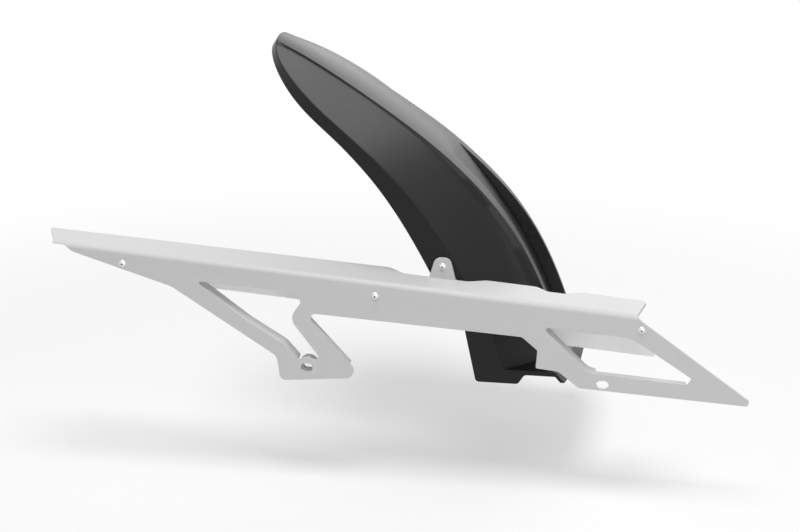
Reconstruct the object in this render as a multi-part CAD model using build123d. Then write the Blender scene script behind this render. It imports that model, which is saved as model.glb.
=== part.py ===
from build123d import *
import os
from math import cos, hypot, radians, sin, sqrt

os.makedirs("parts", exist_ok=True)

# The frame: X runs forward along the two swingarm slots, Y inward from the guard's outer face,
# Z up. The origin lies midway between the slots. All lengths are millimetres, angles degrees.

# Swingarm slots in the guard, and the boss behind the rear one
SLOT_SPACING = 220.0
SLOT_WIDTH = 6.6
SLOT_LENGTH = 9.0
BOSS_RADIUS = 7.0
BOSS_DEPTH = 11.0
REAR_SLOT = -SLOT_SPACING / 2.0
FRONT_SLOT = SLOT_SPACING / 2.0

# Guard sheet: a web in the XZ plane and a flange folded inward along its sloping top
SHEET = 2.2
FOLD_RADIUS = 4.0
FOLD_HEIGHT = 65.7
FOLD_SLOPE = 4.4
REAR_OVERHANG = 193.5
FRONT_OVERHANG = 24.5
FLANGE_REAR = REAR_SLOT - REAR_OVERHANG
FLANGE_FRONT = FRONT_SLOT + FRONT_OVERHANG
LIP_DEPTH = 12.0
SHORT_LIP_DEPTH = 6.0

# Corners of the web and its windows: (forward, up, corner radius) from a slot, and, where the
# name ends in FOLD, (along the fold from a slot, drop below the flange's top, corner radius)
WEDGE_FOLD = ((9.5, SHEET, 3.0), (15.6, 6.3, 3.0))
STRUT_FOLD = ((-100.8, 23.9, 15.0),)
LEG_CORNERS = ((-22.6, 7.6, 8.0), (-20.2, -11.3, 4.5), (41.6, -5.8, 6.0))
RAIL_REAR_FOLD = ((0.0, 31.0, 4.0),)
RAIL_FRONT_FOLD = ((-57.2, 27.9, 6.0), (-45.0, 36.8, 2.5))
BAR_REAR_CORNERS = ((-49.2, 10.2, 1.5), (-32.5, 8.6, 8.0), (-17.5, -3.4, 6.0))
BAR_TIP_CORNERS = ((105.5, -9.9, 2.2), (106.0, -5.9, 1.6))
BROW_FOLD = ((4.1, 5.1, 4.0),)
REAR_WINDOW_TOP_FOLD = ((-80.7, 17.2, 1.2), (-10.6, 16.0, 6.0), (-1.8, 22.5, 3.0))
REAR_WINDOW_LEG = ((-12.5, 38.0, 9.0), (9.7, 8.7, 2.0), (6.0, 6.2, 2.0))
REAR_WINDOW_EYE = ((0.0, 8.2, 8.0), (-6.8, 5.8, 1.5), (-17.0, 17.5, 8.0))
REAR_WINDOW_STRUT_FOLD = ((-41.1, 43.6, 30.0), (-79.2, 19.7, 1.2))
FRONT_WINDOW_TOP_FOLD = ((-43.8, 18.3, 2.0), (21.8, 18.0, 30.0))
FRONT_WINDOW_LOW = ((64.6, 8.7, 1.8), (61.6, 4.1, 1.0), (-10.8, 8.7, 14.0))

# Regions of the windows' edges that carry a return lip, in the same two ways
STRUT_LIP_FOLD = ((-95.0, 36.0, 0.0), (-90.0, 19.5, 0.0), (-76.0, 18.5, 0.0), (-40.0, 32.0, 0.0))
STRUT_LIP_LOW = ((-10.0, 22.0, 0.0), (-7.0, 5.0, 0.0), (-30.0, 0.0, 0.0))
CORNER_LIP_FOLD = ((-50.0, 20.0, 0.0), (-40.0, 20.0, 0.0))
CORNER_LIP_LOW = ((-6.0, 14.0, 0.0), (-6.0, 0.0, 0.0), (-55.0, 30.0, 0.0))
BAR_LIP = ((-6.0, 14.0, 0.0), (60.0, 10.0, 0.0), (60.0, 0.0, 0.0), (-6.0, 0.0, 0.0))
LEG_LIP_TOP = (2.6, 38.2)
LEG_LIP_LOW = (33.0, 5.2)

# Flange width: slim beside the hugger's skirt, wider elsewhere
SEAT_Y = 27.5
SLIM_GAP = 0.7
MIDDLE_STEP = 9.7
FRONT_STEP = 7.7
REAR_DEPTH = 29.8
REAR_RAKE = 10.4
FRONT_RAKE = 4.4
FRONT_TAPER = 1.2
SLIM_START = (-41.0, -29.0)
SLIM_END = (19.0, 32.0)
NOTCH = (-53.0, -44.0, -31.0, -20.0)
FLANGE_ROUND = 8.0
NOTCH_ROUND = 5.0
REAR_CORNER = 2.0
FRONT_CORNER = 3.5

# Tab that carries the hugger
TAB_CENTRE = -12.0
TAB_BASE = 21.0
TAB_TOP = 11.0
TAB_HEIGHT = 16.0
TAB_ROUND = 5.2
TAB_RIVET_DROP = 6.7

# Inner chain liner: a channel riveted behind the web
LINER_WALL = 1.5
LINER_GAP = 3.5
LINER_FOLD_CLEARANCE = 1.0
LINER_LEG = 15.3
LINER_REAR_DROP = 29.5
LINER_FRONT_DROP = 38.5
LINER_REAR_INSET = 47.5
LINER_FRONT_REACH = 14.5
LINER_REAR = FLANGE_REAR + LINER_REAR_INSET
LINER_FRONT = FLANGE_FRONT + LINER_FRONT_REACH
LINER_OUTER_REAR = ((0.0, 9.0), (19.5, LINER_LEG))
LINER_OUTER_FRONT = ((-22.0, 15.3), (-7.0, 16.0), (-4.5, 11.0), (-12.0, 6.3), (-16.0, 0.0))
LINER_INNER_REAR = ((0.0, 20.0), (34.0, LINER_REAR_DROP))
LINER_INNER_STEP = (-85.0, -48.0)
LINER_INNER_FRONT = ((0.0, 25.5), (-18.0, 12.0), (-18.0, 0.0))
LINER_DEPTH = SEAT_Y - LINER_GAP
LINER_FOLD = FOLD_RADIUS - SHEET + LINER_FOLD_CLEARANCE

# Dome-head blind rivets and the washer under the tab rivet's tail
RIVET_SHANK = 3.0
RIVET_HEAD = 5.8
RIVET_RISE = 1.5
RIVET_PIT = 1.6
RIVET_PIT_DEPTH = 0.7
RIVET_TAIL = 4.4
RIVET_TAIL_LENGTH = 2.2
RIVET_DROP = 11.2
MIDDLE_RIVET = -57.5
REAR_RIVET_INSET = 54.5
FRONT_RIVET_REACH = 4.0
RIVET_PLACES = (FLANGE_REAR + REAR_RIVET_INSET, MIDDLE_RIVET, FLANGE_FRONT + FRONT_RIVET_REACH)
HOLE_CLEARANCE = 0.2
WASHER_DIAMETER = 9.0
WASHER_THICKNESS = 1.0

# Hugger, drawn about the wheel's axle; the tab's rivet lies at SEAT_ANGLE on the near skirt
HALF_WIDTH = 82.5
WALL = 3.0
SEAT_ANGLE = 33.28
SEAT_RISE = 12.6

# Hugger section, each pair giving the size at the rear and at the front of the arc; the crease
# is where the panels turn down into the skirt
CREASE_RADIUS = (335.0, 329.0)
CROWN_HEIGHT = (16.0, 39.5)
SKIRT_DEPTH = (7.5, 21.0)
CROWN_HALF = (24.0, 36.0)
CROWN_RISE = 1.8
STEP_DEPTH = (1.3, 5.6)
STEP_LEAN = (0.6, 3.0)
SHOULDER_OFFSET = (7.0, 20.0)
SHOULDER_BULGE = 2.6
CREASE_ROUND = 1.0
EDGE_TOLERANCE = 0.1
CROWN_RADIUS = (CREASE_RADIUS[0] + CROWN_HEIGHT[0], CREASE_RADIUS[1] + CROWN_HEIGHT[1])
SKIRT_RADIUS = (CREASE_RADIUS[0] - SKIRT_DEPTH[0], CREASE_RADIUS[1] - SKIRT_DEPTH[1])

# Angles about the axle, above the forward horizontal
ARC_REAR = 76.0
ARC_FRONT = 8.0
ARC_STATIONS = 13
CROWN_REAR = 58.0
SECTION_REAR = 54.0
SECTION_FRONT = 26.0
SHOULDER_REAR = 40.0
SHOULDER_FRONT = 16.0
CROWN_WIDE_REAR = 58.0
CROWN_WIDE_FRONT = 25.0
CROWN_WIDE_LIMIT = 1.2
CROWN_TAPER_START = 60.0
CROWN_TAPER = 9.0
SKIRT_REAR = 60.0
SKIRT_FRONT = 28.0
SKIRT_END = 33.0
SKIRT_STATIONS = 13

# Rear tip: a half ellipse drawn square to the radius at TIP_ANGLE, and the skirt's rise there
TIP_ANGLE = 58.0
TIP_START = 45.0
TIP_LENGTH = 109.0
TIP_RISE = 16.5
TIP_RISE_START = 57.5
TIP_RISE_SPAN = 11.0

# Trough in the front crown, and the ridges beside it, which narrow to the front
TROUGH_DEPTH = 8.0
TROUGH_DRAFT = 2.0
TROUGH_REAR = 46.0
TROUGH_STATIONS = 12
RIDGE_WIDTH = (11.0, 6.0)
RIDGE_REAR = 40.0

# Ledge and foot, placed from the height above the axle and from the crease at that height
LEDGE_HEIGHT = 97.0
LEDGE_THICKNESS = 3.4
LEDGE_REACH = 38.6
LEDGE_BOW = 7.5
LEDGE_BEND_HALF = 34.0
LEDGE_OVERLAP = 4.4
LEDGE_LIP_REACH = 7.0
LEDGE_LIP_DROP = 7.8
LEDGE_LIP_WIDTH = 3.2
FOOT_DEPTH = 7.4
FOOT_AHEAD = 10.6
FOOT_LENGTH = 31.7
FOOT_RAKE = 9.3
FOOT_HEIGHT = 43.8
FOOT_SLANT = 5.0
FOOT_ROUND = 3.2
CREASE_X = sqrt(CREASE_RADIUS[1] ** 2 - LEDGE_HEIGHT ** 2)
LEDGE_UNDER = LEDGE_HEIGHT - LEDGE_THICKNESS
FOOT_FRONT = CREASE_X + FOOT_AHEAD
FOOT_REAR = FOOT_FRONT - FOOT_LENGTH
FOOT_LOW = LEDGE_UNDER - FOOT_DEPTH


# Drawing helpers

def rounded(points):
    """Face from (u, v, corner radius) points."""
    outline = make_face(Polyline(*[(u, v) for u, v, _ in points], close=True))
    for u, v, radius in points:
        if radius > 0.0:
            corner = outline.vertices().sort_by_distance((u, v, 0))[0]
            outline = fillet(corner, radius)
    return outline


def through(outline, near, far):
    """Extrude a face of (X, Z) points inward from Y = near to Y = far."""
    return Pos(0, near, 0) * extrude(Plane.XZ * outline, amount=far - near, dir=(0, 1, 0))


def polygon(points):
    """Face inside a closed run of straight lines."""
    return make_face(Polyline(*points, close=True))


def along_y(x, z, radius, near, far):
    """Cylinder along Y from near to far."""
    return through(Pos(x, z) * Circle(radius), near, far)


def rivet_hole(x, z, near, far):
    """Round hole along Y for a rivet's shank."""
    return along_y(x, z, (RIVET_SHANK + HOLE_CLEARANCE) / 2.0, near, far)


def fold_point(along, drop):
    """Point (X, Z) at a distance along the fold and a drop below the flange's top."""
    turn = radians(FOLD_SLOPE)
    x = along * cos(turn) - drop * sin(turn)
    z = FOLD_HEIGHT - along * sin(turn) - drop * cos(turn)
    return x, z


def fold_prism(profile, drop):
    """Extrude an (inward, upward) profile along the whole fold, from a drop below its top."""
    turn = radians(FOLD_SLOPE)
    x, z = fold_point(0.0, drop)
    plane = Plane(origin=(x, 0, z), x_dir=(0, 1, 0), z_dir=(cos(turn), 0, -sin(turn)))
    return extrude(plane * profile, amount=2.0 * (SLOT_SPACING + REAR_OVERHANG), both=True)


# Chain guard

def from_slot(slot, corners):
    """Corners given from a slot, as (X, Z, radius)."""
    return [(slot + u, v, radius) for u, v, radius in corners]


def from_fold(start, corners):
    """Corners given along the fold from a start and down from the flange's top, as (X, Z, radius)."""
    return [(*fold_point(start + u, v), radius) for u, v, radius in corners]


def web_outline():
    """Outer shape of the guard's web."""
    return rounded([
        *from_fold(FLANGE_REAR, ((0.0, 0.0, 0.0), (0.0, SHEET, 0.0))),
        *from_fold(FLANGE_REAR, WEDGE_FOLD),
        *from_fold(REAR_SLOT, STRUT_FOLD),
        *from_slot(REAR_SLOT, LEG_CORNERS),
        *from_fold(REAR_SLOT, RAIL_REAR_FOLD),
        *from_fold(FRONT_SLOT, RAIL_FRONT_FOLD),
        *from_slot(FRONT_SLOT, BAR_REAR_CORNERS),
        *from_slot(FRONT_SLOT, BAR_TIP_CORNERS),
        *from_fold(FLANGE_FRONT, BROW_FOLD),
        *from_fold(FLANGE_FRONT, ((0.0, SHEET, 0.0), (0.0, 0.0, 0.0))),
    ])


def rear_window():
    """Window between the rear strut, the leg and the slot's eye."""
    return rounded([
        *from_fold(REAR_SLOT, REAR_WINDOW_TOP_FOLD),
        *from_slot(REAR_SLOT, REAR_WINDOW_LEG),
        *from_slot(REAR_SLOT, REAR_WINDOW_EYE),
        *from_fold(REAR_SLOT, REAR_WINDOW_STRUT_FOLD),
    ])


def front_window():
    """Window between the top rail and the front bar."""
    return rounded([
        *from_fold(FRONT_SLOT, FRONT_WINDOW_TOP_FOLD),
        *from_slot(FRONT_SLOT, FRONT_WINDOW_LOW),
    ])


def flange_plan():
    """Flange outline in plan (X, Y) from the fold inward, as a tall prism."""
    slim = SEAT_Y - SLIM_GAP
    middle = slim + MIDDLE_STEP
    front = slim + FRONT_STEP
    rear_x = fold_point(FLANGE_REAR, 0.0)[0]
    front_x = fold_point(FLANGE_FRONT, 0.0)[0]
    outline = rounded([
        (rear_x, FOLD_RADIUS, 0.0),
        (rear_x - REAR_RAKE, REAR_DEPTH, REAR_CORNER),
        (TAB_CENTRE + SLIM_START[0], middle, FLANGE_ROUND),
        (TAB_CENTRE + SLIM_START[1], slim, FLANGE_ROUND),
        (TAB_CENTRE + SLIM_END[0], slim, FLANGE_ROUND),
        (TAB_CENTRE + SLIM_END[1], front, FLANGE_ROUND),
        (FRONT_SLOT + NOTCH[0], front, NOTCH_ROUND),
        (FRONT_SLOT + NOTCH[1], slim, NOTCH_ROUND),
        (FRONT_SLOT + NOTCH[2], slim, NOTCH_ROUND),
        (FRONT_SLOT + NOTCH[3], front, NOTCH_ROUND),
        (front_x + FRONT_RAKE, front - FRONT_TAPER, FRONT_CORNER),
        (front_x, FOLD_RADIUS, 0.0),
    ])
    tab_half = TAB_BASE / 2.0
    seat = [
        (TAB_CENTRE - tab_half, FOLD_RADIUS),
        (TAB_CENTRE - tab_half, SEAT_Y),
        (TAB_CENTRE + tab_half, SEAT_Y),
        (TAB_CENTRE + tab_half, FOLD_RADIUS),
    ]
    return extrude(outline + polygon(seat), amount=2.0 * FOLD_HEIGHT)


def folded_sheet():
    """Right-angled sheet along the fold: a leg hanging down and a flange running inward."""
    depth = 2.0 * SEAT_Y
    leg = 2.0 * FOLD_HEIGHT
    outer = rounded([(0, 0, FOLD_RADIUS), (depth, 0, 0), (depth, -leg, 0), (0, -leg, 0)])
    inner = rounded([(0, 0, FOLD_RADIUS - SHEET), (depth, 0, 0), (depth, -leg, 0), (0, -leg, 0)])
    return fold_prism(outer - Pos(SHEET, -SHEET) * inner, 0.0)


def window_lip(window, region, depth):
    """Return lip turned inward along the part of a window's edge inside a region."""
    ring = offset(window, SHEET) - window
    return through(ring & rounded(region), SHEET / 2.0, depth)


def leg_lip():
    """Short return lip on the leg's front edge."""
    top = (REAR_SLOT + LEG_LIP_TOP[0], LEG_LIP_TOP[1])
    low = (REAR_SLOT + LEG_LIP_LOW[0], LEG_LIP_LOW[1])
    run = hypot(low[0] - top[0], low[1] - top[1])
    side_x = SHEET * (top[1] - low[1]) / run
    side_z = SHEET * (low[0] - top[0]) / run
    strip = [top, low, (low[0] - side_x, low[1] - side_z), (top[0] - side_x, top[1] - side_z)]
    return through(polygon(strip), SHEET / 2.0, SHORT_LIP_DEPTH)


def tab_crest():
    """Height Z of the tab's top edge."""
    return fold_point(TAB_CENTRE, 0.0)[1] + TAB_HEIGHT


def tab_rivet_point():
    """Point (X, Z) of the rivet through the tab."""
    return TAB_CENTRE, tab_crest() - TAB_RIVET_DROP


def tab():
    """Upright tab on the flange's inner edge, seated against the hugger's skirt."""
    crest = tab_crest()
    outline = rounded([
        (*fold_point(TAB_CENTRE - TAB_BASE / 2.0, SHEET), 0.0),
        (TAB_CENTRE - TAB_TOP / 2.0, crest, TAB_ROUND),
        (TAB_CENTRE + TAB_TOP / 2.0, crest, TAB_ROUND),
        (*fold_point(TAB_CENTRE + TAB_BASE / 2.0, SHEET), 0.0),
    ])
    return through(outline, SEAT_Y - SHEET, SEAT_Y)


def chain_guard():
    """The grey pressing: web, flange, lips, boss and tab, with its slots and rivet holes."""
    web = through(web_outline(), -SHEET, FOLD_RADIUS)
    guard = folded_sheet() & (web + flange_plan())
    rear_hole = rear_window()
    front_hole = front_window()
    guard -= through(rear_hole, -SHEET, 2.0 * SHEET)
    guard -= through(front_hole, -SHEET, 2.0 * SHEET)
    strut = from_fold(REAR_SLOT, STRUT_LIP_FOLD) + from_slot(REAR_SLOT, STRUT_LIP_LOW)
    corner = from_fold(FRONT_SLOT, CORNER_LIP_FOLD) + from_slot(FRONT_SLOT, CORNER_LIP_LOW)
    guard += window_lip(rear_hole, strut, LIP_DEPTH)
    guard += window_lip(front_hole, corner, LIP_DEPTH)
    guard += window_lip(front_hole, from_slot(FRONT_SLOT, BAR_LIP), SHORT_LIP_DEPTH)
    guard += leg_lip()
    guard += along_y(REAR_SLOT, 0.0, BOSS_RADIUS, SHEET / 2.0, BOSS_DEPTH)
    guard += tab()
    for x in (REAR_SLOT, FRONT_SLOT):
        guard -= through(Pos(x, 0) * SlotOverall(SLOT_LENGTH, SLOT_WIDTH), -SHEET, 2.0 * BOSS_DEPTH)
    for along in RIVET_PLACES:
        guard -= rivet_hole(*fold_point(along, RIVET_DROP), -SHEET, 2.0 * SHEET)
    return guard - rivet_hole(*tab_rivet_point(), SEAT_Y - 2.0 * SHEET, SEAT_Y + SHEET)


# Chain liner

def liner_side(*runs):
    """Side-view face from runs of (start, points), each point along the fold and down from its top."""
    return polygon([fold_point(start + u, v) for start, points in runs for u, v in points])


def chain_liner():
    """Pale channel under the flange: an outer leg behind the web, a top and an inner leg."""
    low = -2.0 * LINER_FRONT_DROP
    width = LINER_DEPTH - SHEET
    outer = rounded([(0, low, 0), (0, 0, LINER_FOLD), (width, 0, LINER_FOLD), (width, low, 0)])
    bend = LINER_FOLD - LINER_WALL
    bore = width - 2.0 * LINER_WALL
    inner = rounded([(0, low, 0), (0, 0, bend), (bore, 0, bend), (bore, low, 0)])
    section = outer - Pos(LINER_WALL, -LINER_WALL) * inner
    outer_leg = liner_side(
        (LINER_REAR, ((0.0, 0.0), *LINER_OUTER_REAR)),
        (LINER_FRONT, LINER_OUTER_FRONT),
    )
    inner_leg = liner_side(
        (LINER_REAR, ((0.0, 0.0), *LINER_INNER_REAR)),
        (FRONT_SLOT, ((LINER_INNER_STEP[0], LINER_REAR_DROP), (LINER_INNER_STEP[1], LINER_FRONT_DROP))),
        (LINER_FRONT, ((0.0, LINER_FRONT_DROP), *LINER_INNER_FRONT)),
    )
    split = SHEET + LINER_FOLD
    near_part = through(outer_leg, 0.0, split)
    far_part = through(inner_leg, split, 2.0 * LINER_DEPTH)
    liner = (Pos(0, SHEET, 0) * fold_prism(section, SHEET)) & (near_part + far_part)
    for along in RIVET_PLACES:
        liner -= rivet_hole(*fold_point(along, RIVET_DROP), 0.0, SHEET + 2.0 * LINER_WALL)
    return liner


# Rivets and washer

def rivet(x, z, seat, grip):
    """Dome-head blind rivet along Y: head outside the seat, tail behind the grip."""
    head = RIVET_HEAD / 2.0
    shank = RIVET_SHANK / 2.0
    tail = RIVET_TAIL / 2.0
    pit = RIVET_PIT / 2.0
    middle = (head + pit) / 2.0
    dome = (head * head + RIVET_RISE * RIVET_RISE) / (2.0 * RIVET_RISE)
    centre = seat - RIVET_RISE + dome
    rim = (pit, centre - sqrt(dome * dome - pit * pit))
    crest = (middle, centre - sqrt(dome * dome - middle * middle))
    pit_floor = rim[1] + RIVET_PIT_DEPTH
    back = seat + grip
    end = back + RIVET_TAIL_LENGTH
    body = [(head, seat), (shank, seat), (shank, back), (tail, back), (tail, end), (0, end), (0, pit_floor)]
    outline = make_face([
        Polyline((0, pit_floor), (pit, pit_floor), rim),
        ThreePointArc(rim, crest, (head, seat)),
        Polyline(*body),
    ])
    return Pos(x, 0, z) * revolve(outline, Axis.Y)


def liner_rivets():
    """The rivets that hold the liner behind the web."""
    grip = SHEET + LINER_WALL
    return Compound(children=[rivet(*fold_point(along, RIVET_DROP), 0.0, grip) for along in RIVET_PLACES])


def tab_rivet():
    """The rivet through the tab, the hugger's skirt and the washer."""
    return rivet(*tab_rivet_point(), SEAT_Y - SHEET, SHEET + WALL + WASHER_THICKNESS)


def backing_washer():
    """Washer between the skirt's inner face and the rivet's tail."""
    near = SEAT_Y + WALL
    far = near + WASHER_THICKNESS
    disc = along_y(*tab_rivet_point(), WASHER_DIAMETER / 2.0, near, far)
    return disc - rivet_hole(*tab_rivet_point(), near - WALL, far + WALL)


# Hugger

def ease(angle, rear, front, sizes):
    """Blend a pair of sizes smoothly from the rear angle to the front angle."""
    share = min(max((rear - angle) / (rear - front), 0.0), 1.0)
    smooth = share * share * (3.0 - 2.0 * share)
    return sizes[0] + (sizes[1] - sizes[0]) * smooth


def radial_plane(angle):
    """Plane through the axle line: local x is lateral, local y is the radius at this angle."""
    turn = radians(angle)
    return Plane(origin=(0, 0, 0), x_dir=(0, 1, 0), z_dir=(sin(turn), 0, -cos(turn)))


def inset_points(points, inset):
    """Run of points moved to its right-hand side by a distance, with mitred corners."""
    normals = []
    for (u0, v0), (u1, v1) in zip(points, points[1:]):
        run = hypot(u1 - u0, v1 - v0)
        normals.append(((v1 - v0) / run, (u0 - u1) / run))
    moved = []
    for i, (u, v) in enumerate(points):
        a = normals[max(i - 1, 0)]
        b = normals[min(i, len(normals) - 1)]
        share = inset / (1.0 + a[0] * b[0] + a[1] * b[1])
        moved.append((u + share * (a[0] + b[0]), v + share * (a[1] + b[1])))
    return moved


def crown_half(angle):
    """Half width of the crown: even widening to the front, tapered towards the tip."""
    share = (CROWN_WIDE_REAR - angle) / (CROWN_WIDE_REAR - CROWN_WIDE_FRONT)
    width = CROWN_HALF[0] + (CROWN_HALF[1] - CROWN_HALF[0]) * min(share, CROWN_WIDE_LIMIT)
    beyond = max(angle - CROWN_TAPER_START, 0.0) / (ARC_REAR - CROWN_TAPER_START)
    return width - CROWN_TAPER * beyond


def hugger_section(angle, inset):
    """Cross-section of the crown, step, shoulder and panel, sunk by inset below the outer skin."""
    crown_r = ease(angle, CROWN_REAR, SECTION_FRONT, CROWN_RADIUS)
    step = ease(angle, SECTION_REAR, SECTION_FRONT, STEP_DEPTH)
    lean = ease(angle, SECTION_REAR, SECTION_FRONT, STEP_LEAN)
    crease_r = ease(angle, SECTION_REAR, SECTION_FRONT, CREASE_RADIUS)
    half = crown_half(angle)
    base = (half + lean, crown_r - step)
    shoulder_h = half + ease(angle, SHOULDER_REAR, SHOULDER_FRONT, SHOULDER_OFFSET)
    fall = (base[1] - crease_r) / (HALF_WIDTH - base[0])
    bulge = ease(angle, SHOULDER_REAR, SECTION_FRONT, (0.0, SHOULDER_BULGE))
    shoulder = (shoulder_h, base[1] - fall * (shoulder_h - base[0]) + bulge)
    slope = (shoulder[1] - crease_r) / (HALF_WIDTH - shoulder_h)
    beyond = HALF_WIDTH + 4.0 * WALL
    edge = (beyond, crease_r - slope * (beyond - HALF_WIDTH))
    right = inset_points([(0.0, crown_r), (half, crown_r), base, shoulder, edge], inset)[1:]
    right.append((right[-1][0], 0.8 * SKIRT_RADIUS[1]))
    left = [(-h, r) for h, r in reversed(right)]
    crown = ThreePointArc(left[-1], (0, crown_r + CROWN_RISE - inset), right[0])
    outline = [Polyline(*left), crown, Polyline(*right), Line(right[-1], left[0])]
    return radial_plane(angle) * make_face(outline)


def hugger_top(inset):
    """Solid under the crown and panels, lofted along the arc."""
    step = (ARC_REAR - ARC_FRONT) / (ARC_STATIONS - 1)
    return loft([hugger_section(ARC_REAR - step * i, inset) for i in range(ARC_STATIONS)])


def hugger_plan(inset):
    """Plan outline with straight sides and a half-ellipse rear tip, as a tall prism."""
    turn = radians(TIP_ANGLE)
    plane = Plane(origin=(0, 0, 0), x_dir=(sin(turn), 0, -cos(turn)), z_dir=(cos(turn), 0, sin(turn)))
    reach = 2.0 * CROWN_RADIUS[1]
    half = HALF_WIDTH - inset
    sides = Pos(TIP_START + reach / 2.0, 0) * Rectangle(reach, 2.0 * half)
    tip = Pos(TIP_START, 0) * Ellipse(TIP_LENGTH - inset, half)
    return extrude(plane * (sides + tip), amount=reach)


def trough_section(angle, grow):
    """Cross-section of the recess between the ridges, grown all round by a distance."""
    half = crown_half(angle) - ease(angle, RIDGE_REAR, SECTION_FRONT, RIDGE_WIDTH)
    lean = TROUGH_DRAFT / TROUGH_DEPTH
    floor = CROWN_RADIUS[1] - TROUGH_DEPTH
    top = CROWN_RADIUS[1] + 4.0 * WALL
    low = half - TROUGH_DRAFT + grow
    high = low + lean * (top - floor)
    profile = polygon([(-low, floor - grow), (low, floor - grow), (high, top), (-high, top)])
    return radial_plane(angle) * profile


def trough(grow):
    """Recess lofted along the arc, grown for the wall under it."""
    step = (TROUGH_REAR - ARC_FRONT) / (TROUGH_STATIONS - 1)
    return loft([trough_section(TROUGH_REAR - step * i, grow) for i in range(TROUGH_STATIONS)])


def skirt_point(angle):
    """Point (X, Z) of the skirt's lower edge, which sinks to the front and rises at the tip."""
    beyond = max(angle - TIP_RISE_START, 0.0) / TIP_RISE_SPAN
    radius = ease(angle, SKIRT_REAR, SKIRT_FRONT, SKIRT_RADIUS) + TIP_RISE * beyond * beyond
    return radius * cos(radians(angle)), radius * sin(radians(angle))


def hugger_side():
    """Side view of what the hugger keeps: the lower edge, the foot and the ledge's underside."""
    step = (ARC_REAR - SKIRT_END) / (SKIRT_STATIONS - 1)
    edge = [skirt_point(ARC_REAR - step * i) for i in range(SKIRT_STATIONS)]
    ahead = CREASE_X + 2.0 * LEDGE_REACH
    above = 2.0 * CROWN_RADIUS[1]
    rest = [
        edge[-1],
        (FOOT_REAR - FOOT_RAKE, FOOT_LOW + FOOT_HEIGHT),
        (FOOT_REAR, FOOT_LOW),
        (FOOT_FRONT, FOOT_LOW),
        (FOOT_FRONT + FOOT_SLANT, LEDGE_UNDER),
        (ahead, LEDGE_UNDER),
        (ahead, above),
        (edge[0][0], above),
        edge[0],
    ]
    outline = make_face([Spline(*edge), Polyline(*rest)])
    for corner in rest[2:5]:
        outline = fillet(outline.vertices().sort_by_distance((*corner, 0))[0], FOOT_ROUND)
    return through(outline, -2.0 * HALF_WIDTH, 2.0 * HALF_WIDTH)


def foot_cheek(near):
    """Flat side of the foot carried forward under the ledge."""
    back = CREASE_X - LEDGE_OVERLAP
    front = FOOT_FRONT + 2.0 * FOOT_SLANT
    outline = rounded([
        (back, LEDGE_HEIGHT, 0.0),
        (back, FOOT_LOW, 0.0),
        (FOOT_FRONT, FOOT_LOW, FOOT_ROUND),
        (FOOT_FRONT + FOOT_SLANT, LEDGE_UNDER, FOOT_ROUND),
        (front, LEDGE_UNDER, 0.0),
        (front, LEDGE_HEIGHT, 0.0),
    ])
    return through(outline, near, near + WALL)


def ledge():
    """Plate round the front of the foot, with its front edge turned down."""
    back = CREASE_X - LEDGE_OVERLAP
    side = CREASE_X + LEDGE_REACH
    middle = side + LEDGE_BOW
    front = [
        (side, -HALF_WIDTH),
        (middle, -LEDGE_BEND_HALF),
        (middle, LEDGE_BEND_HALF),
        (side, HALF_WIDTH),
    ]
    plate = polygon([(back, -HALF_WIDTH), *front, (back, HALF_WIDTH)])
    plate = extrude(Pos(0, 0, LEDGE_UNDER) * plate, amount=LEDGE_THICKNESS)
    inner = [(x - LEDGE_LIP_WIDTH, y) for x, y in reversed(front)]
    strip = polygon(front + inner)
    upper = Pos(0, 0, LEDGE_HEIGHT) * strip
    lower = Pos(LEDGE_LIP_REACH, 0, LEDGE_HEIGHT - LEDGE_LIP_DROP) * strip
    lip = loft([upper, lower], ruled=True)
    return plate + lip + foot_cheek(-HALF_WIDTH) + foot_cheek(HALF_WIDTH - WALL)


def hugger_shell():
    """The black moulding, placed on the tab, with its rivet hole."""
    plan = hugger_plan(0.0)
    body = hugger_top(0.0) & plan
    wall = plan.shells()[0]
    rim = []
    for edge in body.edges():
        middle = edge @ 0.5
        above_skirt = hypot(middle.X, middle.Z) > 0.95 * min(CREASE_RADIUS)
        round_the_tip = abs(middle.Y) < HALF_WIDTH - EDGE_TOLERANCE
        if above_skirt and round_the_tip and wall.distance_to(Vertex(middle)) < EDGE_TOLERANCE:
            rim.append(edge)
    body = body.solids()[0].fillet(CREASE_ROUND, rim) - trough(0.0)
    hollow = hugger_top(WALL) & hugger_plan(WALL)
    hollow -= trough(WALL)
    shell = (body & hugger_side()) + ledge() - hollow
    tab_x, tab_z = tab_rivet_point()
    seat_radius = SKIRT_RADIUS[1] + SEAT_RISE
    axle_x = tab_x - seat_radius * cos(radians(SEAT_ANGLE))
    axle_z = tab_z - seat_radius * sin(radians(SEAT_ANGLE))
    shell = Pos(axle_x, SEAT_Y + HALF_WIDTH, axle_z) * shell
    return shell - rivet_hole(tab_x, tab_z, SEAT_Y - WALL, SEAT_Y + 2.0 * WALL)


export_step(hugger_shell(), "parts/hugger_shell.step")
export_step(chain_guard(), "parts/chain_guard.step")
export_step(chain_liner(), "parts/chain_liner.step")
export_step(liner_rivets(), "parts/liner_rivets.step")
export_step(tab_rivet(), "parts/tab_rivet.step")
export_step(backing_washer(), "parts/backing_washer.step")
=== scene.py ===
"""Studio view of a rear hugger mudguard riveted to its chain guard, dressed round the CAD frame."""

import logging
import math
from dataclasses import dataclass
from enum import Enum

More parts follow.
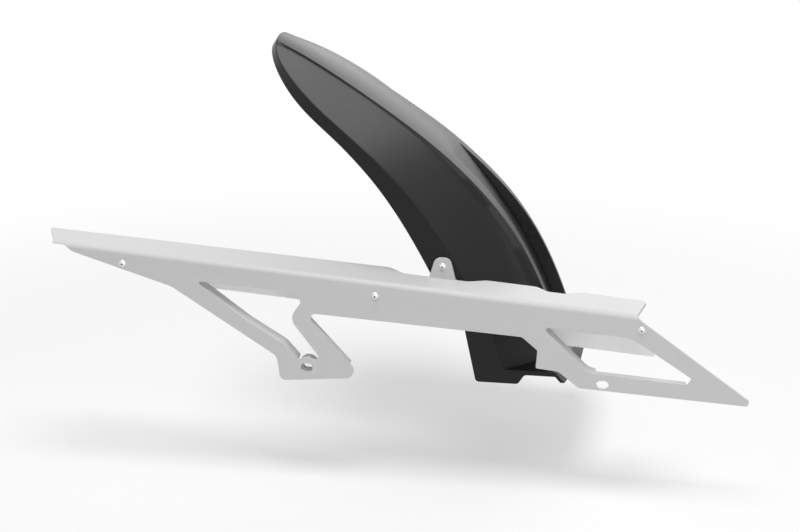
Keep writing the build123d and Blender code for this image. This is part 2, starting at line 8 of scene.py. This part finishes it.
import bpy
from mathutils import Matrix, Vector


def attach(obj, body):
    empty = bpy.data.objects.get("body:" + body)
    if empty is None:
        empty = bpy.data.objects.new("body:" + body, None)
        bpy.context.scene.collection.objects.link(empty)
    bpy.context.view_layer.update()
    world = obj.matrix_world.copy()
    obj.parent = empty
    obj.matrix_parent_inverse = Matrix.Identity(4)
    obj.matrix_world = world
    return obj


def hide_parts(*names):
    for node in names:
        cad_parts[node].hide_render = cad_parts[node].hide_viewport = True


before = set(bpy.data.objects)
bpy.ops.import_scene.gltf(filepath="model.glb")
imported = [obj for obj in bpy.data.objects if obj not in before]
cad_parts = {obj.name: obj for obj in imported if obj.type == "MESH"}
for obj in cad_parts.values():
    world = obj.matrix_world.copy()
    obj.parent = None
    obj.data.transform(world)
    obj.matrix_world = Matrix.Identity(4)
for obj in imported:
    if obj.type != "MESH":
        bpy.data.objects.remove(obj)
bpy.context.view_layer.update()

MM = 0.001
LOG = logging.getLogger("hugger")

# A colour mix shares its socket names with the plain mix, so its sockets go by number.
MIX_FIRST = 6
MIX_SECOND = 7
MIX_RESULT = 2


class Node(Enum):
    """The solids of the frame that are dressed here."""

    HUGGER = "hugger_shell"
    GUARD = "chain_guard"
    LINER = "chain_liner"
    LINER_RIVETS = "liner_rivets"
    TAB_RIVET = "tab_rivet"
    WASHER = "backing_washer"


class Slot(Enum):
    """The record's material slots."""

    HUGGER = "hugger_black"
    GUARD = "guard_grey"
    LINER = "liner_pale"
    RIVET = "rivet_metal"
    WASHER = "washer_steel"


def linear(code: str) -> tuple[float, float, float, float]:
    """Turn an sRGB hex colour into linear light.

    Args:
        code: six hex digits after a hash sign.

    Returns:
        Red, green, blue and alpha.
    """
    shares = [int(code[i:i + 2], 16) / 255.0 for i in (1, 3, 5)]
    red, green, blue = [s / 12.92 if s <= 0.04045 else ((s + 0.055) / 1.055) ** 2.4 for s in shares]
    return red, green, blue, 1.0


def per_metre(size_mm: float) -> float:
    """Pattern scale on Object coordinates for a feature of this size in millimetres."""
    return 1.0 / (size_mm * MM)


def add_node(tree: bpy.types.NodeTree, kind: str, settings: dict, links: dict) -> bpy.types.Node:
    """Add one shader node.

    Args:
        tree: the node tree that takes it.
        kind: Blender's name for the node.
        settings: values by socket name, or by property name where no socket has it.
        links: for each input socket name, the node and output socket that feed it.

    Returns:
        The new node.
    """
    node = tree.nodes.new(kind)
    for name, value in settings.items():
        if name in node.inputs:
            node.inputs[name].default_value = value
        else:
            setattr(node, name, value)
    for name, (source, output) in links.items():
        tree.links.new(source.outputs[output], node.inputs[name])
    return node


@dataclass(frozen=True)
class Finish:
    """A surface with a drifting roughness, a fine relief and a faint change of tone."""

    name: str
    colour: str
    second_colour: str
    tone_mm: float
    roughness: float
    roughness_spread: float
    patch_mm: float
    grain_mm: float
    grain_height_mm: float
    grain_strength: float
    metallic: float = 0.0
    ior: float = 1.5
    specular_level: float = 0.5
    scatter: float = 0.0
    scatter_mm: float = 3.0
    tone_detail: float = 3.0
    fine_detail: float = 2.0

    def material(self) -> bpy.types.Material:
        """Build the material, or give back the one that is already built.

        Returns:
            The material.
        """
        made = bpy.data.materials.get(self.name)
        if made:
            return made
        made = bpy.data.materials.new(self.name)
        made.use_nodes = True
        tree = made.node_tree
        shader = tree.nodes["Principled BSDF"]
        shader.inputs["Metallic"].default_value = self.metallic
        shader.inputs["IOR"].default_value = self.ior
        shader.inputs["Specular IOR Level"].default_value = self.specular_level
        shader.inputs["Subsurface Weight"].default_value = self.scatter
        shader.inputs["Subsurface Radius"].default_value = (1.0, 1.0, 1.0)
        shader.inputs["Subsurface Scale"].default_value = self.scatter_mm * MM
        place = add_node(tree, "ShaderNodeTexCoord", {}, {})
        self.tone(tree, shader, place)
        self.polish(tree, shader, place)
        self.relief(tree, shader, place)
        return made

    def noise(
        self, tree: bpy.types.NodeTree, place: bpy.types.Node, size_mm: float, detail: float,
    ) -> bpy.types.Node:
        """Add a noise pattern on Object coordinates.

        Args:
            tree: the material's node tree.
            place: the node that gives the Object coordinates.
            size_mm: the size of the pattern's features.
            detail: how many finer layers it has.

        Returns:
            The noise node.
        """
        return add_node(
            tree, "ShaderNodeTexNoise",
            {"Scale": per_metre(size_mm), "Detail": detail}, {"Vector": (place, "Object")},
        )

    def tone(self, tree: bpy.types.NodeTree, shader: bpy.types.Node, place: bpy.types.Node) -> None:
        """Let the colour drift between two close tones.

        Args:
            tree: the material's node tree.
            shader: the surface shader that takes the colour.
            place: the node that gives the Object coordinates.
        """
        cloud = self.noise(tree, place, self.tone_mm, self.tone_detail)
        blend = add_node(tree, "ShaderNodeMix", {"data_type": "RGBA"}, {"Factor": (cloud, "Fac")})
        blend.inputs[MIX_FIRST].default_value = linear(self.colour)
        blend.inputs[MIX_SECOND].default_value = linear(self.second_colour)
        tree.links.new(blend.outputs[MIX_RESULT], shader.inputs["Base Color"])

    def polish(self, tree: bpy.types.NodeTree, shader: bpy.types.Node, place: bpy.types.Node) -> None:
        """Let the roughness drift in broad patches.

        Args:
            tree: the material's node tree.
            shader: the surface shader that takes the roughness.
            place: the node that gives the Object coordinates.
        """
        patch = self.noise(tree, place, self.patch_mm, self.fine_detail)
        low = self.roughness - self.roughness_spread
        high = self.roughness + self.roughness_spread
        level = add_node(
            tree, "ShaderNodeMapRange",
            {"To Min": low, "To Max": high}, {"Value": (patch, "Fac")},
        )
        tree.links.new(level.outputs["Result"], shader.inputs["Roughness"])

    def relief(self, tree: bpy.types.NodeTree, shader: bpy.types.Node, place: bpy.types.Node) -> None:
        """Raise a fine grain.

        Args:
            tree: the material's node tree.
            shader: the surface shader that takes the relief.
            place: the node that gives the Object coordinates.
        """
        grain = self.noise(tree, place, self.grain_mm, self.fine_detail)
        bump = add_node(
            tree, "ShaderNodeBump",
            {"Strength": self.grain_strength, "Distance": self.grain_height_mm * MM},
            {"Height": (grain, "Fac")},
        )
        tree.links.new(bump.outputs["Normal"], shader.inputs["Normal"])


# Moulded ABS with a satin skin: near black, with long soft reflections. Its grain is drawn
# coarser than the real one, so that it shows.
BLACK_ABS = Finish(
    name="moulded_black_abs", colour="#0d0d0e", second_colour="#111112", tone_mm=30.0,
    roughness=0.30, roughness_spread=0.04, patch_mm=45.0,
    grain_mm=1.2, grain_height_mm=0.02, grain_strength=0.10, specular_level=0.28,
)

# Powder coat on sheet aluminium: a flat pale grey with the faint orange peel of a baked powder.
POWDER_COAT = Finish(
    name="powder_coated_sheet", colour="#c4c4c4", second_colour="#c8c8c8", tone_mm=1.6,
    roughness=0.56, roughness_spread=0.05, patch_mm=25.0,
    grain_mm=1.5, grain_height_mm=0.03, grain_strength=0.12,
)

# Unpainted polypropylene: pale, dull and slightly waxy, with light coming through its thin wall.
PALE_POLYPROPYLENE = Finish(
    name="pale_polypropylene", colour="#f3f3f3", second_colour="#f6f6f6", tone_mm=20.0,
    roughness=0.62, roughness_spread=0.05, patch_mm=30.0,
    grain_mm=1.3, grain_height_mm=0.02, grain_strength=0.10, scatter=0.6, scatter_mm=4.0,
)

# Bare aluminium as it comes off the rivet header: bright, with a dull bloom.
RIVET_ALUMINIUM = Finish(
    name="headed_aluminium", colour="#e4e4e6", second_colour="#d6d6d9", tone_mm=1.5,
    roughness=0.28, roughness_spread=0.07, patch_mm=2.0,
    grain_mm=0.6, grain_height_mm=0.01, grain_strength=0.15, metallic=1.0,
)

# Snapped steel of the rivet's pin: grey and torn.
SNAPPED_STEEL = Finish(
    name="snapped_steel", colour="#77777a", second_colour="#5c5c60", tone_mm=0.4,
    roughness=0.45, roughness_spread=0.10, patch_mm=0.5,
    grain_mm=0.25, grain_height_mm=0.05, grain_strength=0.40, metallic=1.0,
)

# Zinc-plated steel of the washer: mid grey with a spangled bloom.
ZINC_STEEL = Finish(
    name="zinc_plated_steel", colour="#b4b5b8", second_colour="#9c9ea2", tone_mm=2.0,
    roughness=0.36, roughness_spread=0.08, patch_mm=3.0,
    grain_mm=0.8, grain_height_mm=0.01, grain_strength=0.15, metallic=1.0,
)


def only(piece: bpy.types.Object) -> None:
    """Make one object active and the only one selected."""
    bpy.ops.object.select_all(action="DESELECT")
    piece.select_set(True)
    bpy.context.view_layer.objects.active = piece


def apply_modifier(piece: bpy.types.Object, kind: str, settings: dict) -> None:
    """Add a modifier with its settings and apply it.

    Args:
        piece: the object that takes it.
        kind: Blender's name for the modifier.
        settings: values by property name.
    """
    only(piece)
    modifier = piece.modifiers.new(kind.lower(), kind)
    for name, value in settings.items():
        setattr(modifier, name, value)
    bpy.ops.object.modifier_apply(modifier=modifier.name)


def hand_over(piece: bpy.types.Object, finish: Finish) -> None:
    """Give a finished piece its material and the body it rides on.

    Args:
        piece: the finished piece.
        finish: the finish whose material it takes.
    """
    piece.data.materials.clear()
    piece.data.materials.append(finish.material())
    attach(piece, "root")
    LOG.info("%s: %d faces, %s", piece.name, len(piece.data.polygons), finish.name)


@dataclass
class DressedNode:
    """A solid of the frame with merged faces, its finish and, where edge_mm is given, eased edges."""

    node: Node
    piece_name: str
    slot: Slot
    finish: Finish
    edge_mm: float = 0.0
    edge_segments: int = 2
    edge_angle: float = 35.0
    weld_mm: float = 0.002
    flat_angle: float = 0.2
    smooth_angle: float = 35.0
    normal_weight: int = 50

    def build(self) -> bpy.types.Object:
        """Copy the solid, ease its edges and put the copy in its place.

        Returns:
            The dressed piece.
        """
        piece = self.copy()
        self.merge(piece)
        self.ease(piece)
        self.smooth(piece)
        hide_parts(self.node.value)
        hand_over(piece, self.finish)
        return piece

    def copy(self) -> bpy.types.Object:
        """Copy the node's mesh into a new object at the origin.

        Returns:
            The copy.
        """
        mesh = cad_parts[self.node.value].data.copy()
        piece = bpy.data.objects.new(self.piece_name, mesh)
        bpy.context.scene.collection.objects.link(piece)
        return piece

    def merge(self, piece: bpy.types.Object) -> None:
        """Join the loose triangles, and clear the lines across flat faces whose edges are eased."""
        only(piece)
        bpy.ops.mesh.customdata_custom_splitnormals_clear()
        bpy.ops.object.mode_set(mode="EDIT")
        bpy.ops.mesh.select_all(action="SELECT")
        bpy.ops.mesh.remove_doubles(threshold=self.weld_mm * MM)
        if self.edge_mm > 0.0:
            bpy.ops.mesh.dissolve_limited(angle_limit=math.radians(self.flat_angle))
        bpy.ops.object.mode_set(mode="OBJECT")

    def ease(self, piece: bpy.types.Object) -> None:
        """Round the sharp edges a little, as a press or a mould leaves them."""
        if self.edge_mm > 0.0:
            apply_modifier(piece, "BEVEL", {
                "width": self.edge_mm * MM,
                "segments": self.edge_segments,
                "limit_method": "ANGLE",
                "angle_limit": math.radians(self.edge_angle),
                "use_clamp_overlap": True,
            })

    def smooth(self, piece: bpy.types.Object) -> None:
        """Shade the curved faces smoothly and keep the flat ones flat."""
        only(piece)
        bpy.ops.object.shade_smooth_by_angle(angle=math.radians(self.smooth_angle))
        apply_modifier(piece, "WEIGHTED_NORMAL", {"keep_sharp": True, "weight": self.normal_weight})


@dataclass
class RivetPins:
    """The snapped pins left in the pits of the rivets' heads."""

    radius_mm: float = 0.64
    below_rim_mm: float = 0.22
    pit_depth_mm: float = 0.70
    sunk_mm: float = 0.05
    neck_share: float = 0.62
    neck_mm: float = 0.12
    gap_mm: float = 20.0
    sides: int = 24
    front_facing: float = -0.9
    edge_mm: float = 0.04
    edge_segments: int = 2
    edge_angle: float = 35.0

    def heads(self, node: Node) -> list[Vector]:
        """Find the front middle of each rivet in a node.

        Args:
            node: the node that holds the rivets.

        Returns:
            One point for each rivet, at the outermost face of its head.
        """
        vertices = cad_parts[node.value].data.vertices
        points = sorted((vertex.co.copy() for vertex in vertices), key=lambda point: point.x)
        groups = [[points[0]]]
        for last, point in zip(points, points[1:]):
            if point.x - last.x > self.gap_mm * MM:
                groups.append([])
            groups[-1].append(point)
        found = []
        for group in groups:
            low = Vector(min(p[i] for p in group) for i in range(3))
            high = Vector(max(p[i] for p in group) for i in range(3))
            found.append(Vector(((low.x + high.x) / 2.0, low.y, (low.z + high.z) / 2.0)))
        return found

    def first_pin(self, head: Vector) -> bpy.types.Object:
        """Model one pin: a short stub with a torn neck, facing the camera side.

        Args:
            head: the front middle of its rivet.

        Returns:
            The pin, with its place in its mesh.
        """
        front = head.y + self.below_rim_mm * MM
        back = head.y + (self.pit_depth_mm + self.sunk_mm) * MM
        bpy.ops.object.select_all(action="DESELECT")
        bpy.ops.mesh.primitive_cylinder_add(
            vertices=self.sides, radius=self.radius_mm * MM, depth=back - front,
            location=(head.x, (front + back) / 2.0, head.z), rotation=(math.pi / 2.0, 0.0, 0.0),
        )
        pin = bpy.context.object
        bpy.ops.object.transform_apply(location=True, rotation=True, scale=True)
        bpy.ops.object.mode_set(mode="EDIT")
        bpy.ops.mesh.select_all(action="DESELECT")
        bpy.ops.object.mode_set(mode="OBJECT")
        for face in pin.data.polygons:
            face.select = face.normal.y < self.front_facing
        bpy.ops.object.mode_set(mode="EDIT")
        bpy.ops.mesh.select_mode(type="FACE")
        bpy.ops.mesh.inset(thickness=self.radius_mm * MM * (1.0 - self.neck_share))
        bpy.ops.mesh.extrude_region_move(TRANSFORM_OT_translate={"value": (0.0, -self.neck_mm * MM, 0.0)})
        bpy.ops.object.mode_set(mode="OBJECT")
        apply_modifier(pin, "BEVEL", {
            "width": self.edge_mm * MM,
            "segments": self.edge_segments,
            "angle_limit": math.radians(self.edge_angle),
        })
        only(pin)
        bpy.ops.object.shade_smooth_by_angle(angle=math.radians(self.edge_angle))
        return pin

    def build(self) -> list[bpy.types.Object]:
        """Model one pin and copy it into every rivet head.

        Returns:
            The pins.
        """
        heads = self.heads(Node.LINER_RIVETS) + self.heads(Node.TAB_RIVET)
        first = self.first_pin(heads[0])
        pins = [first]
        for head in heads[1:]:
            pin = bpy.data.objects.new("rivet_pin", first.data.copy())
            bpy.context.scene.collection.objects.link(pin)
            for vertex in pin.data.vertices:
                vertex.co += head - heads[0]
            pins.append(pin)
        for number, pin in enumerate(pins, start=1):
            pin.name = f"rivet_pin_{number}"
            hand_over(pin, SNAPPED_STEEL)
        return pins


@dataclass
class Softbox:
    """A square soft lamp that points at the object."""

    name: str
    place: tuple[float, float, float]
    size: float
    power: float
    target: tuple[float, float, float] = (-0.05, 0.08, 0.05)

    def build(self) -> bpy.types.Object:
        """Add the lamp and turn it to its target.

        Returns:
            The lamp.
        """
        bpy.ops.object.light_add(type="AREA", location=self.place)
        lamp = bpy.context.object
        lamp.name = self.name
        lamp.data.shape = "SQUARE"
        lamp.data.size = self.size
        lamp.data.energy = self.power
        aim = Vector(self.target) - Vector(self.place)
        lamp.rotation_mode = "QUATERNION"
        lamp.rotation_quaternion = aim.to_track_quat("-Z", "Y")
        lamp.visible_camera = False
        return lamp


@dataclass
class Studio:
    """White floor and surround, soft lamps and the camera."""

    floor_level: float = -0.088
    floor_middle: tuple[float, float] = (-0.05, 0.06)
    floor_size: float = 14.0
    floor_colour: str = "#eeeeee"
    floor_white: float = 0.45
    shadow_reach: float = 0.40
    white_reach: float = 0.80
    fill: float = 0.35
    target: tuple[float, float, float] = (-0.0546, 0.090, 0.05325)
    azimuth: float = 9.5
    elevation: float = 18.3
    distance: float = 1.713
    lens: float = 100.0
    sensor: float = 36.0
    lamps: tuple[Softbox, ...] = (
        Softbox("top_softbox", (-0.05, -0.30, 1.60), 0.7, 18.5),
        Softbox("front_softbox", (0.80, -1.50, 0.80), 1.2, 7.0),
        Softbox("back_softbox", (0.40, 1.65, 1.10), 1.5, 11.5),
    )

    def seen(self, tree: bpy.types.NodeTree) -> bpy.types.Node:
        """Tell the rays that show the background from those that light the object.

        Args:
            tree: the node tree that takes the nodes.

        Returns:
            A node whose Value is 1 for camera, mirror and see-through rays.
        """
        path = add_node(tree, "ShaderNodeLightPath", {}, {})
        mirror = add_node(tree, "ShaderNodeMath", {"operation": "MAXIMUM"}, {})
        tree.links.new(path.outputs["Is Camera Ray"], mirror.inputs[0])
        tree.links.new(path.outputs["Is Glossy Ray"], mirror.inputs[1])
        every = add_node(tree, "ShaderNodeMath", {"operation": "MAXIMUM"}, {})
        tree.links.new(mirror.outputs["Value"], every.inputs[0])
        tree.links.new(path.outputs["Is Transmission Ray"], every.inputs[1])
        return every

    def floor(self) -> bpy.types.Object:
        """Lay the floor, which keeps the shadow near the object and fades to plain white.

        Returns:
            The floor.
        """
        bpy.ops.object.select_all(action="DESELECT")
        bpy.ops.mesh.primitive_plane_add(
            size=self.floor_size, location=(*self.floor_middle, self.floor_level),
        )
        floor = bpy.context.object
        floor.name = "studio_floor"
        material = bpy.data.materials.new("studio_floor_paper")
        material.use_nodes = True
        tree = material.node_tree
        tree.nodes.clear()
        seen = self.seen(tree)
        place = add_node(tree, "ShaderNodeTexCoord", {}, {})
        away = add_node(
            tree, "ShaderNodeVectorMath",
            {"operation": "LENGTH"}, {"Vector": (place, "Object")},
        )
        fade = add_node(
            tree, "ShaderNodeMapRange",
            {
                "interpolation_type": "SMOOTHSTEP",
                "From Min": self.shadow_reach, "From Max": self.white_reach, "To Min": self.floor_white,
            },
            {"Value": (away, "Value")},
        )
        paper = add_node(tree, "ShaderNodeBsdfDiffuse", {"Color": linear(self.floor_colour)}, {})
        white = add_node(tree, "ShaderNodeEmission", {"Strength": 1.0}, {})
        share = add_node(tree, "ShaderNodeMath", {"operation": "MULTIPLY"}, {})
        tree.links.new(seen.outputs["Value"], share.inputs[0])
        tree.links.new(fade.outputs["Result"], share.inputs[1])
        mix = add_node(tree, "ShaderNodeMixShader", {}, {"Fac": (share, "Value")})
        tree.links.new(paper.outputs["BSDF"], mix.inputs[1])
        tree.links.new(white.outputs["Emission"], mix.inputs[2])
        add_node(tree, "ShaderNodeOutputMaterial", {}, {"Surface": (mix, "Shader")})
        floor.data.materials.append(material)
        return floor

    def surround(self) -> None:
        """Make the world white to the eye and a gentle fill to the object."""
        world = bpy.data.worlds.new("studio_surround")
        world.use_nodes = True
        tree = world.node_tree
        seen = self.seen(tree)
        level = add_node(
            tree, "ShaderNodeMapRange",
            {"To Min": self.fill, "To Max": 1.0}, {"Value": (seen, "Value")},
        )
        tree.links.new(level.outputs["Result"], tree.nodes["Background"].inputs["Strength"])
        tree.nodes["Background"].inputs["Color"].default_value = (1.0, 1.0, 1.0, 1.0)
        bpy.context.scene.world = world

    def camera(self) -> bpy.types.Object:
        """Set the camera at the photograph's angle.

        Returns:
            The camera.
        """
        turn = math.radians(self.azimuth)
        rise = math.radians(self.elevation)
        back = Vector((
            math.sin(turn) * math.cos(rise),
            -math.cos(turn) * math.cos(rise),
            math.sin(rise),
        ))
        bpy.ops.object.camera_add(location=Vector(self.target) + back * self.distance)
        camera = bpy.context.object
        camera.name = "photo_camera"
        camera.rotation_mode = "QUATERNION"
        camera.rotation_quaternion = (-back).to_track_quat("-Z", "Y")
        camera.data.sensor_fit = "HORIZONTAL"
        camera.data.sensor_width = self.sensor
        camera.data.lens = self.lens
        bpy.context.scene.camera = camera
        return camera

    def build(self) -> None:
        """Set up the floor, the surround, the lamps and the camera."""
        self.floor()
        self.surround()
        for lamp in self.lamps:
            lamp.build()
        self.camera()
        bpy.context.scene.view_settings.view_transform = "Standard"


def main() -> None:
    """Dress each node of the frame, add the rivet pins and set up the studio."""
    logging.basicConfig(level=logging.INFO, format="%(name)s: %(message)s")
    dressed = (
        DressedNode(Node.HUGGER, "hugger_moulding", Slot.HUGGER, BLACK_ABS),
        DressedNode(Node.GUARD, "guard_pressing", Slot.GUARD, POWDER_COAT, edge_mm=0.35),
        DressedNode(Node.LINER, "liner_channel", Slot.LINER, PALE_POLYPROPYLENE, edge_mm=0.25),
        DressedNode(Node.LINER_RIVETS, "liner_rivet_set", Slot.RIVET, RIVET_ALUMINIUM),
        DressedNode(Node.TAB_RIVET, "tab_rivet_set", Slot.RIVET, RIVET_ALUMINIUM),
        DressedNode(Node.WASHER, "tab_washer", Slot.WASHER, ZINC_STEEL, edge_mm=0.15),
    )
    for part in dressed:
        part.build()
    RivetPins().build()
    Studio().build()


if __name__ == "__main__":
    main()
